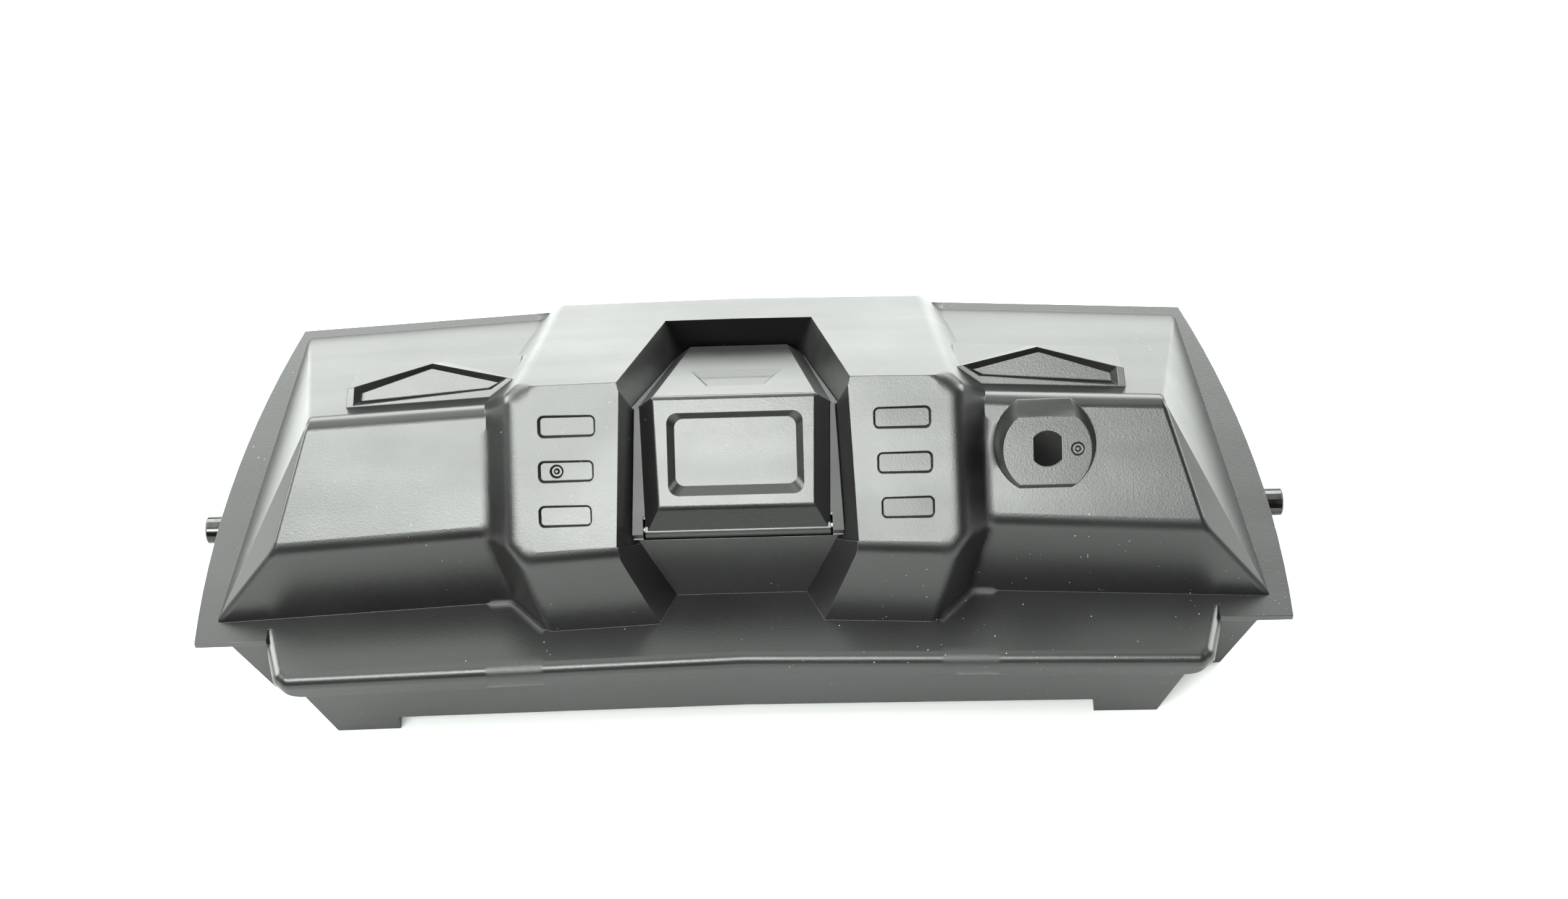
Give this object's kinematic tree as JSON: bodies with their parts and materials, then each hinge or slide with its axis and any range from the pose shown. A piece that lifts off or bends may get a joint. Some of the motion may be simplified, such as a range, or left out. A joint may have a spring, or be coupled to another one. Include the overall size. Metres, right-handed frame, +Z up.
{
  "type": "tracked tank chassis",
  "caption": "Low angular black plastic hull for a tracked model vehicle, with a hinged battery hatch, a boss with a double-D socket and a geared drive shaft out of each side.",
  "frame": {"origin": "middle of the bounding box in plan, at the soles of the feet", "axes": "+X to the right as seen from in front, +Y to the rear, +Z up"},
  "size_m": [0.372, 0.1549, 0.1051],
  "materials": {
    "black_shell": "satin injection-moulded black ABS with fine grain",
    "black_tray": "satin black ABS, duller than the upper hull",
    "black_trim": "satin black ABS",
    "steel_shaft": "turned steel, blackened and oiled",
    "bright_steel": "zinc-plated steel",
    "bronze": "sintered bronze",
    "brass": "turned brass",
    "gear_plastic": "natural acetal",
    "gearbox_plastic": "black glass-filled nylon",
    "motor_steel": "drawn plated steel",
    "magnet": "ferrite",
    "rotor": "laminated steel with enamelled windings",
    "cell_wrap": "plain printed-free shrink sleeve",
    "board_green": "solder mask over glass epoxy",
    "chip_black": "moulded epoxy"
  },
  "bodies": {
    "hull": {"upper_hull": "black_shell", "lower_tray": "black_tray", "hatch_bezel": "black_trim", "hatch_hinge_pin": "bright_steel", "tray_screws": "bright_steel", "board_screws": "bright_steel", "cover_screws": "bright_steel", "battery_box": "black_tray", "battery_cells": "cell_wrap", "battery_contacts": "bright_steel", "control_board": "board_green", "board_parts": "chip_black", "switch_body": "bright_steel", "gearbox_housing_right": "gearbox_plastic", "gearbox_cover_right": "gearbox_plastic", "idler_pins_right": "bright_steel", "shaft_bushing_right": "bronze", "motor_can_right": "motor_steel", "motor_end_cap_right": "chip_black", "motor_magnets_right": "magnet", "gearbox_housing_left": "gearbox_plastic", "gearbox_cover_left": "gearbox_plastic", "idler_pins_left": "bright_steel", "shaft_bushing_left": "bronze", "motor_can_left": "motor_steel", "motor_end_cap_left": "chip_black", "motor_magnets_left": "magnet"},
    "hatch": {"battery_hatch": "black_trim"},
    "switch": {"switch_slider": "black_trim"},
    "right_drive": {"drive_shaft_right": "steel_shaft", "output_gear_right": "gear_plastic", "shaft_clip_right": "bright_steel"},
    "right_second": {"second_gear_right": "gear_plastic"},
    "right_first": {"first_gear_right": "gear_plastic"},
    "right_motor": {"motor_shaft_right": "bright_steel", "motor_pinion_right": "brass", "motor_rotor_right": "rotor"},
    "left_drive": {"drive_shaft_left": "steel_shaft", "output_gear_left": "gear_plastic", "shaft_clip_left": "bright_steel"},
    "left_second": {"second_gear_left": "gear_plastic"},
    "left_first": {"first_gear_left": "gear_plastic"},
    "left_motor": {"motor_shaft_left": "bright_steel", "motor_pinion_left": "brass", "motor_rotor_left": "rotor"}
  },
  "joints": [
    {"name": "hatch_hinge", "type": "hinge", "parent": "hull", "child": "hatch", "pos_m": [0, -0.03848, 0.06559], "axis": [1, 0, 0], "range_deg": [0, 55]},
    {"name": "switch_slide", "type": "slide", "parent": "hull", "child": "switch", "axis": [1, 0, 0], "range_m": [0, 0.004]},
    {"name": "right_drive_spin", "type": "hinge", "parent": "hull", "child": "right_drive", "pos_m": [0.0588, -0.00411, 0.0223], "axis": [1, 0, 0], "continuous": true},
    {"name": "right_second_spin", "type": "hinge", "parent": "hull", "child": "right_second", "pos_m": [0.0569, 0.00811, 0.02675], "axis": [1, 0, 0], "continuous": true},
    {"name": "right_first_spin", "type": "hinge", "parent": "hull", "child": "right_first", "pos_m": [0.0525, 0.02032, 0.03119], "axis": [1, 0, 0], "continuous": true},
    {"name": "right_motor_spin", "type": "hinge", "parent": "hull", "child": "right_motor", "pos_m": [0.0506, 0.01407, 0.04202], "axis": [1, 0, 0], "continuous": true},
    {"name": "left_drive_spin", "type": "hinge", "parent": "hull", "child": "left_drive", "pos_m": [-0.0588, -0.00411, 0.0223], "axis": [1, 0, 0], "continuous": true},
    {"name": "left_second_spin", "type": "hinge", "parent": "hull", "child": "left_second", "pos_m": [-0.0569, 0.00811, 0.02675], "axis": [1, 0, 0], "continuous": true},
    {"name": "left_first_spin", "type": "hinge", "parent": "hull", "child": "left_first", "pos_m": [-0.0525, 0.02032, 0.03119], "axis": [1, 0, 0], "continuous": true},
    {"name": "left_motor_spin", "type": "hinge", "parent": "hull", "child": "left_motor", "pos_m": [-0.0506, 0.01407, 0.04202], "axis": [1, 0, 0], "continuous": true}
  ],
  "couplings": [
    {"joint": "right_second_spin", "follows": "right_drive_spin", "ratio": -3.3333},
    {"joint": "right_first_spin", "follows": "right_drive_spin", "ratio": 11.111},
    {"joint": "right_motor_spin", "follows": "right_drive_spin", "ratio": -44.444},
    {"joint": "left_second_spin", "follows": "left_drive_spin", "ratio": -3.3333},
    {"joint": "left_first_spin", "follows": "left_drive_spin", "ratio": 11.111},
    {"joint": "left_motor_spin", "follows": "left_drive_spin", "ratio": -44.444}
  ]
}
